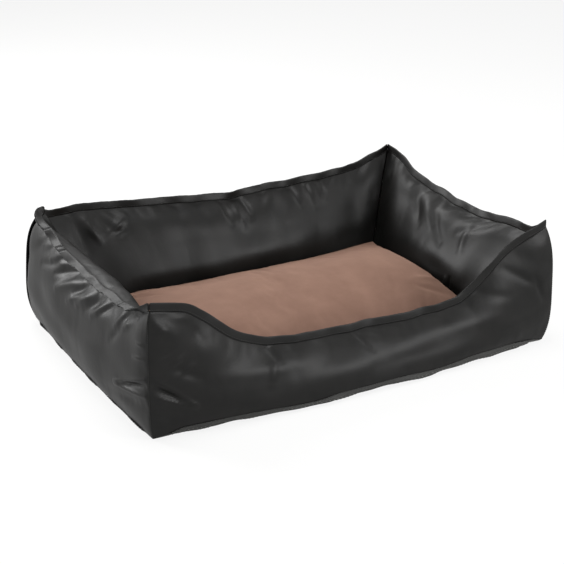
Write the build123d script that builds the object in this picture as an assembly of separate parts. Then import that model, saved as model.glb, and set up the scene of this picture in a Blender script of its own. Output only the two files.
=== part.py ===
"""Dog sofa bed: four stuffed walls round a padded floor, with a loose zipped cushion.

Frame: X along the length, the low front at -Y, Z up, origin at the middle of the
underside. Millimetres.

Each wall is drawn as a section in (u, z), where u is measured outwards from the
straight line between two corners and z is the height. Sections fan out along the
wall, so that the last one lies on the mitre where two walls meet.
"""
import os
from math import asin, cos, pi, radians, sin, sqrt

from build123d import *

# Overall sizes, between the corner seams and up to the seam under the top hem
bed_length = 860.0
bed_depth = 580.0
corner_height = 240.0
wall_foot_width = 100.0

# Height of the seam halfway along each wall
left_mid_height = 205.0
right_mid_height = 198.0
rear_mid_height = 206.0
front_mid_height = 109.0

# Top hem, two layers of cloth sewn together above the seam
hem_height = 14.0
left_hem_lean = 95.0
right_hem_lean = 10.0
rear_hem_lean = 4.0
front_hem_lean = 16.0

# How far each wall swells: plan bow at the foot, outer and inner cheek, seam drawn in
end_bow = 8.0
long_bow = 31.0
left_cheek = 19.0
right_cheek = 18.0
rear_cheek = 22.0
front_cheek = 19.0
end_inner_cheek = 36.0
rear_inner_cheek = 36.0
front_inner_cheek = 19.0
corner_cheek = 12.0
corner_inner_cheek = 8.0
left_seam_inset = 12.0
right_seam_inset = 6.0
rear_seam_inset = 13.0
front_seam_inset = 24.0

# Cloth, stuffing and the spaces between sewn layers
cloth_thickness = 1.2
seam_gap = 0.3
stuffing_gap = 0.5
mitre_gap = 0.4
base_thickness = 1.0
lip_height = 14.0
lip_run = 3.0
pad_thickness = 11.0
floor_cloth_thickness = 1.0

# Cushion, which fits between the inside cloths of the walls with these gaps at its waist
cushion_end_gap = 0.8
cushion_side_gap = 7.0
cushion_waist_inset = 4.0
cushion_seam_height = 65.0
crown_height = 38.0
belly_depth = 89.0
cushion_edge_height = 5.0
cushion_cloth_thickness = 1.2
cushion_rest_gap = 0.3

# Zip in the rear underside of the cushion
zip_length = 260.0
zip_drop = 23.0
facet_depth = 2.6
tooth_pitch = 4.0
tooth_width = 1.7
tooth_thickness = 2.4
tooth_root = 2.8
tooth_nose = 0.9
nose_flat_share = 0.5
tape_width = 11.5
tape_thickness = 0.6
tape_gap = 0.1
zip_window_half = 6.0
slider_length = 9.6
slider_half_width = 5.0
slider_plate = 1.0
slider_clearance = 0.3
slider_rim = 0.8
wedge_length = 4.2
wedge_width = 3.4
stop_length = 1.8
crown_length = 3.6
crown_width = 1.6
crown_rise = 2.6
eye_radius = 0.9
pull_pin_radius = 0.6
pull_length = 16.0
pull_width = 6.0
pull_arm = 1.3
pull_thickness = 1.2
pull_window = 4.4
pull_hole_radius = 1.6

# One overrun for every cut
overrun = 2.0

# Stations along half a wall, how steeply the plain walls rise to their corners, and
# where the S-curve of the front starts and ends
plain_station_count = 10
end_rise_power = 2.0
rear_rise_power = 1.4
front_station_count = 14
dip_end_share = 0.42
shoulder_share = 0.95

# Stations along half the cushion, and the power that keeps its ends full
cushion_station_count = 12
cushion_fullness = 0.34

# How much further an inner layer draws back from the seam than from the faces
seam_inset_share = 2.0

half_length = bed_length / 2
half_depth = bed_depth / 2
floor_underside = base_thickness + seam_gap
floor_cloth_low = floor_underside + pad_thickness + seam_gap
floor_top = floor_cloth_low + floor_cloth_thickness
cushion_low = floor_top + cushion_rest_gap
lip_wall = base_thickness * sqrt(lip_height ** 2 + lip_run ** 2) / lip_height


def inner_reach(mid_height, seam_inset, inner_cheek):
    """How far in the inside cloth of a wall stands at its fullest, halfway along."""
    run, rise = wall_foot_width - seam_inset, mid_height - floor_top
    chord = sqrt(run * run + rise * rise)
    radius = (chord * chord / 4 + inner_cheek * inner_cheek) / (2 * inner_cheek)
    centre = (wall_foot_width + seam_inset) / 2 - (radius - inner_cheek) * rise / chord
    return centre + radius + seam_gap / 2 + cloth_thickness


end_reach = max(inner_reach(left_mid_height, left_seam_inset, end_inner_cheek),
                inner_reach(right_mid_height, right_seam_inset, end_inner_cheek))
side_reach = max(inner_reach(rear_mid_height, rear_seam_inset, rear_inner_cheek),
                 inner_reach(front_mid_height, front_seam_inset, front_inner_cheek))
cushion_length = bed_length - 2 * (end_reach + cushion_end_gap)
cushion_waist = bed_depth - 2 * (side_reach + cushion_side_gap)
cushion_width = cushion_waist + 2 * cushion_waist_inset

# Sections as chains: points joined by straight runs, or by arcs through a middle point


def right_normal(start, end):
    """The unit normal on the right of the run from start to end."""
    du, dz = end[0] - start[0], end[1] - start[1]
    size = sqrt(du * du + dz * dz)
    return dz / size, -du / size


def bulge(start, end, sagitta):
    """The middle point of an arc that swells to the right of start to end."""
    normal = right_normal(start, end)
    return tuple((start[i] + end[i]) / 2 + sagitta * normal[i] for i in (0, 1))


def arc_normals(start, middle, end):
    """Unit normals on the right of a shallow arc, at its start and its end."""
    chord = right_normal(start, end)
    centre = [(start[i] + end[i]) / 2 for i in (0, 1)]
    sagitta = sum((middle[i] - centre[i]) * chord[i] for i in (0, 1))
    half = sqrt(sum((end[i] - start[i]) ** 2 for i in (0, 1))) / 2
    turn = asin(2 * sagitta * half / (sagitta * sagitta + half * half))
    along = (-chord[1], chord[0])
    at_start = tuple(chord[i] * cos(turn) - along[i] * sin(turn) for i in (0, 1))
    at_end = tuple(chord[i] * cos(turn) + along[i] * sin(turn) for i in (0, 1))
    return at_start, at_end


def offset_chain(points, middles, distance, closed=False):
    """The same chain moved to its right by a distance, with its corners mitred."""
    runs = []
    for index, middle in enumerate(middles):
        start, end = points[index], points[(index + 1) % len(points)]
        if middle is None:
            normal = right_normal(start, end)
            runs.append((normal, normal, normal))
        else:
            first, last = arc_normals(start, middle, end)
            runs.append((first, right_normal(start, end), last))
    moved = []
    for index, point in enumerate(points):
        before = runs[index - 1][2] if closed or index else runs[0][0]
        after = runs[index][0] if closed or index < len(runs) else before
        reach = distance / (1 + before[0] * after[0] + before[1] * after[1])
        moved.append(tuple(point[i] + (before[i] + after[i]) * reach for i in (0, 1)))
    arcs = []
    for middle, run in zip(middles, runs):
        arcs.append(middle and tuple(middle[i] + distance * run[1][i] for i in (0, 1)))
    return moved, arcs


def chain_edges(points, middles, place):
    """Edges of a chain, with each section point put into space by place."""
    edges = []
    for index, middle in enumerate(middles):
        start, end = place(points[index]), place(points[(index + 1) % len(points)])
        if middle is None:
            edges.append(Edge.make_line(start, end))
        else:
            edges.append(Edge.make_three_point_arc(start, place(middle), end))
    return edges


def layer_wire(points, middles, near, thickness, place):
    """A strip of cloth that follows a chain, from near to near plus its thickness."""
    inside, inside_arcs = offset_chain(points, middles, near)
    outside, outside_arcs = offset_chain(points, middles, near + thickness)
    closing = inside + outside[::-1]
    arcs = inside_arcs + [None] + outside_arcs[::-1] + [None]
    return Wire(chain_edges(closing, arcs, place))


# Walls


class Wall:
    """One stuffed wall between two corners, and the shape of its section anywhere."""

    def __init__(self, name, along, outward, half_span, reach, mid_height, hem_lean,
                 bow, cheek, inner_cheek, seam_inset, rises):
        self.name = name
        self.along = along
        self.outward = outward
        self.half_span = half_span
        self.reach = reach
        self.mid_height = mid_height
        self.hem_lean = hem_lean
        self.bow = bow
        self.cheek = cheek
        self.inner_cheek = inner_cheek
        self.seam_inset = seam_inset
        mirrored = [(-share, rise) for share, rise in rises[:0:-1]]
        self.stations = mirrored + rises

    def place(self, share):
        """Puts a section point into space, on the fan plane at a share of the wall."""
        def put(point):
            run = share * (self.half_span - mitre_gap / 2 + point[0])
            out = self.reach + point[0]
            x = self.along[0] * run + self.outward[0] * out
            y = self.along[1] * run + self.outward[1] * out
            return Vector(x, y, point[1])
        return put

    def foot_bow(self, share):
        """How far the foot stands out on this fan plane, along one shallow curve."""
        curl = self.bow * share * share / self.half_span ** 2
        if curl == 0:
            return self.bow
        span = self.half_span + self.bow
        return (sqrt(1 + 4 * curl * span) - 1) / (2 * curl) - self.half_span

    def section(self, share, rise):
        """The named points of a section, and the middles of its two swelling arcs."""
        middle = 1 - share * share
        seam_z = self.mid_height + (corner_height - self.mid_height) * rise
        lean = radians(self.hem_lean * middle)
        foot = self.foot_bow(share)
        seam = (-self.seam_inset * middle, seam_z)
        hem = (seam[0] + hem_height * sin(lean), seam_z + hem_height * cos(lean))
        lip = (foot, lip_height + seam_gap)
        floor_edge = (-wall_foot_width, floor_top)
        floor_root = (-wall_foot_width, floor_underside)
        rim = (foot - lip_wall, lip_height + seam_gap)
        heel = (rim[0] - lip_run, floor_underside)
        outer = bulge(lip, seam, corner_cheek + (self.cheek - corner_cheek) * middle)
        swell = corner_inner_cheek + (self.inner_cheek - corner_inner_cheek) * middle
        inner = bulge(seam, floor_edge, swell)
        return seam, hem, lip, rim, heel, floor_edge, floor_root, outer, inner

    def outer_panel(self):
        """The outside cloth, from the base lip to the top of the hem."""
        wires = []
        for share, rise in self.stations:
            seam, hem, lip, _, _, _, _, outer, _ = self.section(share, rise)
            wires.append(layer_wire([lip, seam, hem], [outer, None],
                                    seam_gap / 2, cloth_thickness, self.place(share)))
        return Solid.make_loft(wires, ruled=True)

    def inner_panel(self):
        """The inside cloth, from the top of the hem down to the base."""
        wires = []
        for share, rise in self.stations:
            seam, hem, _, _, _, floor_edge, floor_root, _, inner = (
                self.section(share, rise))
            chain = [hem, seam, floor_edge, floor_root]
            wires.append(layer_wire(chain, [None, inner, None],
                                    seam_gap / 2, cloth_thickness, self.place(share)))
        return Solid.make_loft(wires, ruled=True)

    def fill(self):
        """The fibre stuffing that swells the wall."""
        wires = []
        for share, rise in self.stations:
            seam, _, _, rim, heel, floor_edge, floor_root, outer, inner = (
                self.section(share, rise))
            points = [floor_root, heel, rim, seam, floor_edge]
            middles = [None, None, outer, inner, None]
            shape, arcs = offset_chain(points, middles, -stuffing_gap, closed=True)
            wires.append(Wire(chain_edges(shape, arcs, self.place(share))))
        return Solid.make_loft(wires, ruled=True)


def front_rise(share):
    """The S-curve from the entrance up to the corner, as a share of the full rise."""
    run = (share - dip_end_share) / (shoulder_share - dip_end_share)
    run = min(max(run, 0), 1)
    return run * run * (3 - 2 * run)


def shares(count):
    """Even stations from the middle of a wall to its corner."""
    return [index / count for index in range(count + 1)]


end_rises = [(share, share ** end_rise_power) for share in shares(plain_station_count)]
rear_rises = [(share, share ** rear_rise_power) for share in shares(plain_station_count)]
front_rises = [(share, front_rise(share)) for share in shares(front_station_count)]

walls = (
    Wall("left", (0, -1), (-1, 0), half_depth, half_length, left_mid_height,
         left_hem_lean, end_bow, left_cheek, end_inner_cheek, left_seam_inset, end_rises),
    Wall("right", (0, 1), (1, 0), half_depth, half_length, right_mid_height,
         right_hem_lean, end_bow, right_cheek, end_inner_cheek, right_seam_inset, end_rises),
    Wall("rear", (-1, 0), (0, 1), half_length, half_depth, rear_mid_height,
         rear_hem_lean, long_bow, rear_cheek, rear_inner_cheek, rear_seam_inset, rear_rises),
    Wall("front", (1, 0), (0, -1), half_length, half_depth, front_mid_height,
         front_hem_lean, long_bow, front_cheek, front_inner_cheek, front_seam_inset,
         front_rises),
)

# Base and floor


def bowed_outline(inset, height):
    """The plan of the foot seam, four shallow arcs, moved inwards by inset."""
    x, y = half_length - inset, half_depth - inset
    corners = [(-x, -y), (x, -y), (x, y), (-x, y)]
    tops = [(0, -y - long_bow), (x + end_bow, 0), (0, y + long_bow), (-x - end_bow, 0)]
    edges = []
    for index, top in enumerate(tops):
        start, end = corners[index], corners[(index + 1) % len(corners)]
        edges.append(Edge.make_three_point_arc(
            Vector(*start, height), Vector(*top, height), Vector(*end, height)))
    return Wire(edges)


def make_base_panel():
    """The underside cloth, turned up steeply to the foot seam."""
    slope = lip_run / lip_height
    outside = Solid.make_loft(
        [bowed_outline(lip_run, 0), bowed_outline(0, lip_height)], ruled=True)
    inside = Solid.make_loft(
        [bowed_outline(lip_run + lip_wall - slope * base_thickness, base_thickness),
         bowed_outline(lip_wall - slope * overrun, lip_height + overrun)], ruled=True)
    return outside - inside


floor_half_x = half_length - wall_foot_width - seam_gap / 2 - cloth_thickness - seam_gap
floor_half_y = half_depth - wall_foot_width - seam_gap / 2 - cloth_thickness - seam_gap


def make_floor_layer(low, thickness):
    """A flat layer of the floor between the feet of the inside cloth."""
    layer = Box(2 * floor_half_x, 2 * floor_half_y, thickness)
    return Pos(0, 0, low + thickness / 2) * layer


# Cushion


def cushion_section(turn, inset):
    """The cushion's section at a turn from its middle, 0, to an end, plus or minus 90."""
    share = sin(abs(turn)) ** cushion_fullness * (1 if turn > 0 else -1)
    crown_share = cos(turn)
    half_width = (cushion_waist + (cushion_width - cushion_waist) * share * share) / 2
    half_width = half_width - seam_inset_share * inset
    edge = cushion_edge_height / 2
    top = edge + (crown_height - edge) * crown_share - inset
    bottom = edge + (belly_depth - edge) * crown_share - inset
    points = [(-half_width, cushion_seam_height), (half_width, cushion_seam_height)]
    middles = [(0, cushion_seam_height - bottom), (0, cushion_seam_height + top)]
    x = share * (cushion_length / 2 - seam_inset_share * inset)
    return Wire(chain_edges(points, middles, lambda point: Vector(x, point[0], point[1])))


def cushion_body(inset):
    """The whole cushion form, crowned above and below, with its sides drawn in."""
    step = pi / 2 / cushion_station_count
    counts = range(-cushion_station_count, cushion_station_count + 1)
    sections = [cushion_section(step * count, inset) for count in counts]
    return Solid.make_loft(sections, ruled=True)


belly_radius = ((cushion_waist / 2) ** 2 + belly_depth ** 2) / (2 * belly_depth)
zip_y = cushion_waist / 2 - zip_drop
slope_angle = asin(zip_y / belly_radius)
zip_outward = Vector(0, sin(slope_angle), -cos(slope_angle))
belly_centre = cushion_seam_height - belly_depth + belly_radius
zip_z = belly_centre - sqrt(belly_radius ** 2 - zip_y ** 2)
facet_origin = Vector(0, zip_y, zip_z) - zip_outward * facet_depth
facet = Plane(origin=facet_origin, x_dir=(1, 0, 0), z_dir=zip_outward)


def trimmed_cushion(inset, facet_inset):
    """A cushion form cut flat where it rests and where the zip is sewn in."""
    body = cushion_body(inset)
    size = 2 * cushion_length
    under = Pos(0, 0, cushion_low + inset - size / 2) * Box(size, size, size)
    facet_cut = Pos(0, 0, size / 2 - facet_inset) * Box(size, size, size)
    return body - under - facet.location * facet_cut


def seam_side(side):
    """A block that covers all above the cushion's seam, or below it with side -1."""
    size = 2 * cushion_length
    shift = side * (size + seam_gap) / 2
    return Pos(0, 0, cushion_seam_height + shift) * Box(size, size, size)


tape_middle = -(cushion_cloth_thickness + tape_gap + tape_thickness / 2)
tape_low = tape_middle - tape_thickness / 2
slider_half_height = tooth_thickness / 2 + slider_clearance + slider_plate
chain_half = zip_length / 2
slider_x = chain_half + tooth_pitch / 2 - slider_length / 2 + wedge_length
stop_x = slider_x + slider_length / 2 + slider_clearance + stop_length / 2
tape_half_length = stop_x + 2 * stop_length
pull_axis_height = slider_half_height + crown_rise / 2
fill_channel_depth = slider_half_height + slider_clearance - tape_middle
zip_frame = facet.offset(tape_middle)


def zip_place(shape):
    """Puts a piece drawn flat, with its middle in the tape, onto the cushion."""
    return zip_frame.location * shape


def make_cushion_parts():
    """Top cloth, bottom cloth with the slot for the zip, and the stuffing."""
    outside = trimmed_cushion(0, 0)
    inside = trimmed_cushion(cushion_cloth_thickness, cushion_cloth_thickness)
    shell = outside - inside
    top = shell & seam_side(1)
    bottom = shell & seam_side(-1)
    slot = Box(2 * tape_half_length, 2 * zip_window_half, 2 * facet_depth + overrun)
    bottom = bottom - facet.location * slot
    fill_inset = cushion_cloth_thickness + stuffing_gap
    fill = trimmed_cushion(fill_inset, seam_gap - tape_low)
    channel = Box(2 * tape_half_length, 2 * zip_window_half, 2 * fill_channel_depth)
    fill = fill - facet.location * channel
    return top, bottom, fill


# Zip, drawn flat with X along the chain and Z out of the cushion


def make_tape(side):
    """One woven tape, from the tooth roots outwards."""
    low = tooth_root
    tape = Box(2 * tape_half_length, tape_width, tape_thickness)
    return zip_place(Pos(0, side * (low + tape_width / 2), 0) * tape)


def make_teeth(side):
    """One row of moulded teeth, half a pitch out of step with the other row."""
    half = tooth_width / 2
    tip = half * nose_flat_share
    outline = Polyline(
        (-half, side * tooth_root), (-half, 0), (-tip, -side * tooth_nose),
        (tip, -side * tooth_nose), (half, 0), (half, side * tooth_root), close=True)
    tooth = extrude(make_face(outline), amount=tooth_thickness / 2, both=True)
    count = int(zip_length / tooth_pitch)
    shift = tooth_pitch / 4 * side
    first = -zip_length / 2 + tooth_pitch / 2
    return [zip_place(Pos(first + tooth_pitch * index + shift, 0, 0) * tooth)
            for index in range(count)]


def make_top_stops():
    """The two stops that hold the slider at the closed end."""
    stop = Box(stop_length, tooth_root - tooth_nose, tooth_thickness)
    middle = (tooth_root + tooth_nose) / 2
    return [zip_place(Pos(stop_x, side * middle, 0) * stop) for side in (-1, 1)]


def make_bottom_stop():
    """The one stop that joins both tapes at the open end."""
    stop = Box(stop_length, 2 * tooth_root, tooth_thickness)
    return zip_place(Pos(-chain_half - stop_length - tooth_pitch / 2, 0, 0) * stop)


def make_slider():
    """The slider: two plates with turned-in rims, the wedge, and the crown."""
    plate_middle = slider_half_height - slider_plate / 2
    plan = make_face(Polyline(
        (-slider_length / 2, -slider_half_width + slider_rim),
        (-slider_length / 2, slider_half_width - slider_rim),
        (0, slider_half_width), (slider_length / 2, slider_half_width),
        (slider_length / 2, -slider_half_width), (0, -slider_half_width), close=True))
    plate = extrude(plan, amount=slider_plate / 2, both=True)
    rim_low = tape_thickness / 2 + slider_clearance
    rim_height = slider_half_height - rim_low
    rim = Box(slider_length / 2, slider_rim, rim_height)
    body = None
    for level in (-1, 1):
        piece = Pos(0, 0, level * plate_middle) * plate
        body = piece if body is None else body + piece
        for side in (-1, 1):
            at = Pos(slider_length / 4, side * (slider_half_width - slider_rim / 2),
                     level * (rim_low + rim_height / 2))
            body = body + at * rim
    nose = slider_length / 2
    wedge = make_face(Polyline(
        (nose, -wedge_width / 2), (nose, wedge_width / 2),
        (nose - wedge_length + slider_clearance, 0), close=True))
    body = body + extrude(wedge, amount=plate_middle, both=True)
    crown_low = slider_half_height - slider_plate / 2
    crown = Box(crown_length, crown_width, crown_rise + slider_plate / 2)
    crown_middle = crown_low + (crown_rise + slider_plate / 2) / 2
    body = body + Pos(0, 0, crown_middle) * crown
    body = fillet(body.edges().filter_by(Axis.Y).group_by(Axis.Z)[-1], crown_length / 3)
    eye = Pos(0, 0, pull_axis_height) * Rot(90, 0, 0) * Cylinder(eye_radius, 2 * slider_half_width)
    body = body - eye
    return zip_place(Pos(slider_x, 0, 0) * body)


def make_pull():
    """The pull tab, with a pin through the crown's eye, hanging straight out."""
    plan = SlotOverall(pull_length + pull_thickness, pull_width)
    tab = extrude(plan, amount=pull_thickness / 2, both=True)
    tab = Pos(-pull_length / 2, 0, 0) * tab
    window = Box(pull_window, pull_width - 2 * pull_arm, 2 * pull_thickness)
    tab = tab - Pos(-pull_window / 2 + pull_thickness, 0, 0) * window
    hole = Cylinder(pull_hole_radius, 2 * pull_thickness)
    tab = tab - Pos(-pull_length + pull_width / 2, 0, 0) * hole
    pin = Rot(90, 0, 0) * Cylinder(pull_pin_radius, pull_width - pull_arm)
    return zip_place(Pos(slider_x, 0, pull_axis_height) * Rot(0, 90, 0) * (tab + pin))


def export(name, shape):
    """Writes one node, one solid or a group of alike solids."""
    if isinstance(shape, list):
        shape = Compound(children=shape)
    export_step(shape, f"parts/{name}.step")


def main():
    """Builds every piece and writes it."""
    os.makedirs("parts", exist_ok=True)
    for wall in walls:
        export(f"{wall.name}_outer_panel", wall.outer_panel())
        export(f"{wall.name}_inner_panel", wall.inner_panel())
        export(f"{wall.name}_fill", wall.fill())
    export("base_panel", make_base_panel())
    export("floor_pad", make_floor_layer(floor_underside, pad_thickness))
    export("floor_panel", make_floor_layer(floor_cloth_low, floor_cloth_thickness))
    top, bottom, fill = make_cushion_parts()
    export("cushion_top_panel", top)
    export("cushion_bottom_panel", bottom)
    export("cushion_fill", fill)
    export("zip_upper_tape", make_tape(-1))
    export("zip_lower_tape", make_tape(1))
    export("zip_upper_teeth", make_teeth(-1))
    export("zip_lower_teeth", make_teeth(1))
    export("zip_top_stops", make_top_stops())
    export("zip_bottom_stop", make_bottom_stop())
    export("zip_slider", make_slider())
    export("zip_pull", make_pull())


main()
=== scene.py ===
# Looks of the dog sofa bed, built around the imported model
from math import asin, cos, exp, pi, radians, sin, sqrt
from random import Random

import bmesh
import bpy
from mathutils import Matrix, Vector, noise


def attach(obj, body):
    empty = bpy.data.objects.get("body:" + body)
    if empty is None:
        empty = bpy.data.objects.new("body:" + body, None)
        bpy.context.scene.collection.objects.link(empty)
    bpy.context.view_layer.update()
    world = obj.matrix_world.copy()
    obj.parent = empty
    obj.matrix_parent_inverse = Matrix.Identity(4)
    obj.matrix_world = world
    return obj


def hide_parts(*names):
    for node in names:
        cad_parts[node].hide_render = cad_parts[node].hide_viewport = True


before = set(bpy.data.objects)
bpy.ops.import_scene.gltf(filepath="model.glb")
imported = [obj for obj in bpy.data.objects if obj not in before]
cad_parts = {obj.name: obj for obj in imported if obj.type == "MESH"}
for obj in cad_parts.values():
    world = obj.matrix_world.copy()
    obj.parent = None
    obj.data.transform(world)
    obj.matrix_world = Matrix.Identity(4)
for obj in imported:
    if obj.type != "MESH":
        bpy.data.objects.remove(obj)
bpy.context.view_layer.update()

scene = bpy.context.scene
mm = 0.001
print("frame loaded")

# Camera, fitted to the eight corners of the walls in the photo
view = {
    "place": (-1.27892, -2.22609, 1.17914), "yaw": 29.6888, "pitch": 22.67, "roll": 0.605,
    "lens": 88.0, "sensor": 36.0,
}


def makeCamera():
    data = bpy.data.cameras.new("camera")
    data.lens = view["lens"]
    data.sensor_width = view["sensor"]
    camera = bpy.data.objects.new("camera", data)
    scene.collection.objects.link(camera)
    yaw, pitch, roll = (radians(view[key]) for key in ("yaw", "pitch", "roll"))
    ahead = Vector((sin(yaw) * cos(pitch), cos(yaw) * cos(pitch), -sin(pitch)))
    right = Vector((cos(yaw), -sin(yaw), 0))
    up = right.cross(ahead)
    rolledRight = right * cos(roll) + up * sin(roll)
    rolledUp = up * cos(roll) - right * sin(roll)
    turn = Matrix((rolledRight, rolledUp, -ahead)).transposed()
    camera.matrix_world = Matrix.Translation(view["place"]) @ turn.to_4x4()
    scene.camera = camera


makeCamera()


# Materials. Colours are sRGB hex, and linear turns them into Blender's numbers
def linear(hexText):
    parts = [int(hexText[i:i + 2], 16) / 255 for i in (1, 3, 5)]
    return tuple(p / 12.92 if p <= 0.04045 else ((p + 0.055) / 1.055) ** 2.4 for p in parts) + (1,)


def addNode(tree, kind, settings=None, links=None, colours=()):
    # colours are the places and hex colours of a ramp
    node = tree.nodes.new("ShaderNode" + kind)
    for key, value in (settings or {}).items():
        if isinstance(key, str) and hasattr(node, key):
            setattr(node, key, value)
        else:
            node.inputs[key].default_value = value
    for key, source in (links or {}).items():
        tree.links.new(source, node.inputs[key])
    for index, (position, hexText) in enumerate(colours):
        node.color_ramp.elements[index].position = position
        node.color_ramp.elements[index].color = linear(hexText)
    return node


def newMaterial(name, finish):
    material = bpy.data.materials.new(name)
    material.use_nodes = True
    tree = material.node_tree
    tree.nodes.clear()
    shader = addNode(tree, "BsdfPrincipled", finish)
    output = addNode(tree, "OutputMaterial", links={"Surface": shader.outputs["BSDF"]})
    return material, tree, shader, output


def weave(tree, vector, waveMm):
    # Crossed bands that repeat every 2 pi of waveMm. That is several times the real 0.6 mm
    # thread, because finer threads wouldn't show
    bands = {}
    for index, direction in enumerate("XY"):
        bands[index] = addNode(tree, "TexWave", {
            "wave_type": "BANDS", "bands_direction": direction, "wave_profile": "SIN",
            "Scale": 1 / (waveMm * mm) / 20, "Distortion": 0.4, "Detail": 1.0, "Detail Scale": 2.0},
            {"Vector": vector}).outputs["Fac"]
    return addNode(tree, "Math", {"operation": "MAXIMUM"}, bands).outputs[0]


# Patterns are noises by their size in millimetres, with what else their node is set to. The
# tint's shares of them mix the two colours, between the two ends. Bumps give a pattern's depth
# in millimetres and its strength, the coarsest first
def makeMaterial(name, look):
    material, tree, shader, _ = newMaterial(name, look["finish"])
    place = addNode(tree, "TexCoord").outputs
    body = place["Object"]
    if "stretch" in look:
        body = addNode(tree, "Mapping", {"Scale": look["stretch"]}, {"Vector": body}).outputs["Vector"]
    facs = {}
    for pattern, (size, settings) in look["patterns"].items():
        facs[pattern] = addNode(tree, "TexNoise", {"Scale": 1 / (size * mm), **settings},
                                {"Vector": body}).outputs["Fac"]
    if "waveMm" in look:
        facs["weave"] = weave(tree, place["UV"], look["waveMm"])
    mixed = {}
    for pattern, share in look["tint"].items():
        part = addNode(tree, "Math", {"operation": "MULTIPLY_ADD", 1: share, 2: 0.0},
                       {0: facs[pattern], **mixed})
        mixed = {2: part.outputs[0]}
    shade = addNode(tree, "ValToRGB", {}, {"Fac": mixed[2]}, zip(look["ends"], look["colours"]))
    tree.links.new(shade.outputs["Color"], shader.inputs["Base Color"])
    below = {}
    for pattern, (depthMm, strength) in look["bumps"].items():
        node = addNode(tree, "Bump", {"Strength": strength, "Distance": depthMm * mm},
                       {"Height": facs[pattern], **below})
        below = {"Normal": node.outputs["Normal"]}
    tree.links.new(below["Normal"], shader.inputs["Normal"])
    if "gloss" in look:
        # Threads shade each other at a low angle, so the gloss falls there instead of rising
        facing = addNode(tree, "LayerWeight", {"Blend": 0.5}).outputs["Facing"]
        level = addNode(tree, "MapRange", dict(zip(("To Min", "To Max"), look["gloss"])), {"Value": facing})
        tree.links.new(level.outputs["Result"], shader.inputs["Specular IOR Level"])
    return material


# Oxford polyester: plain-woven, calendered and dyed black. It gives broad grey satin
# highlights, a fine thread grain and small crumples between the folds
oxfordCloth = makeMaterial("oxford_polyester_satin", {
    "colours": ("#0e0e0d", "#151413"), "ends": (0.3, 0.7), "tint": {"crumple": 1.0}, "gloss": (0.21, 0.0525),
    "finish": {"Roughness": 0.42, "IOR": 1.5, "Specular IOR Level": 0.126}, "waveMm": 1.3,
    "patterns": {"crumple": (60.0, {"Detail": 3.0, "Roughness": 0.55, "Distortion": 0.6}),
                 "fine": (9.0, {"Detail": 2.0, "Distortion": 1.2})},
    "bumps": {"crumple": (0.35, 1.0), "fine": (0.04, 1.0), "weave": (0.04, 0.5)},
})

# Brushed polyester: knitted and raised to a short nap. It is matt, with a soft pale edge and
# faint lighter and darker patches where the nap lies differently
cushionCloth = makeMaterial("brushed_polyester_nap", {
    "colours": ("#715548", "#7e6153"), "ends": (0.35, 0.65), "tint": {"nap": 0.2, "patch": 0.8},
    "finish": {"Roughness": 0.88, "Specular IOR Level": 0.25, "Sheen Weight": 0.2,
               "Sheen Roughness": 0.5, "Sheen Tint": linear("#c9a893")},
    "patterns": {"patch": (70.0, {"Detail": 4.0, "Roughness": 0.6}), "nap": (1.8, {"Detail": 2.0}),
                 "rumple": (26.0, {"Detail": 2.0, "Distortion": 0.8})},
    "bumps": {"rumple": (0.35, 1.0), "nap": (0.18, 0.6)},
})

# Woven polyester tape of the zip, dyed to the cushion: dull, with fine ribs
tapeCloth = makeMaterial("woven_zip_tape", {
    "colours": ("#77594b", "#876656"), "ends": (0.3, 0.7), "tint": {"patch": 1.0},
    "finish": {"Roughness": 0.8, "Specular IOR Level": 0.4}, "waveMm": 0.9,
    "patterns": {"patch": (1000 / 90, {"Detail": 3.0})}, "bumps": {"weave": (0.12, 1.0)},
})


# A plain finish with grain: wadding, thread, base cloth, and the zip's resin and paint
def grained(name, low, high, roughness, grainMm, depthMm, stretch=(1, 1, 1), specular=0.5, sheen=0.0):
    return makeMaterial(name, {
        "colours": (low, high), "ends": (0.35, 0.65), "tint": {"grain": 1.0}, "stretch": stretch,
        "finish": {"Roughness": roughness, "Specular IOR Level": specular, "Sheen Weight": sheen},
        "patterns": {"grain": (grainMm, {"Detail": 4.0, "Roughness": 0.6})},
        "bumps": {"grain": (depthMm, 1.0)},
    })


# Anti-slip cloth: non-woven polyester with PVC dots, dull and slightly fibrous
baseCloth = grained("anti_slip_nonwoven", "#232322", "#343432", 0.7, 2.0, 0.15, specular=0.4)
# PVC dots, dropped on and cured, so they are rounded and glint. Their pale grey is partly their own colour
# and partly a painted glint
dotPvcPaintedGlint = grained("pvc_dots_painted_glint", "#5c5c59", "#72726e", 0.22, 1.5, 0.02, specular=0.9)
# Spun polyester thread, dyed black or brown: a dull twist
threadCloth = grained("spun_polyester_thread", "#1e1e1d", "#2e2e2c", 0.6, 0.4, 0.05, sheen=0.1)
tapeThread = grained("spun_thread_brown", "#6a4f42", "#7c5e50", 0.6, 0.4, 0.05)
# Crimped polyester fibre, carded: white, cloudy and matt
wadding = grained("carded_polyester_fibre", "#d9d9d4", "#efefeb", 0.95, 6.0, 1.5, (1, 1, 3), 0.1, 0.3)
# Acetal teeth, moulded onto the tape: smooth with a slight satin
toothResin = grained("moulded_acetal", "#7a5c4d", "#836454", 0.36, 3.0, 0.01)
# Zinc slider, die-cast and lacquered brown: a thin even paint gloss over small pits
sliderPaint = grained("lacquered_zinc", "#5f473b", "#6b5144", 0.34, 1.2, 0.015)
print("materials made")


# The walls: sections in u, measured outwards, and z, on planes that fan out to the mitres.
# rim gives the height of the seam under the hem, by x on the long walls and y on the ends
bed = {
    "footWidth": 100.0, "floorTop": 13.6, "cornerInnerCheek": 8.0, "mitreGap": 0.2,
    "sway": 5.0, "swayPerMm": 0.013, "uneven": 3.0, "unevenPerMm": 0.022, "boxy": (2.2, 3.6),
    "mesh": 6.0, "clothThickness": 1.0,
}

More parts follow.
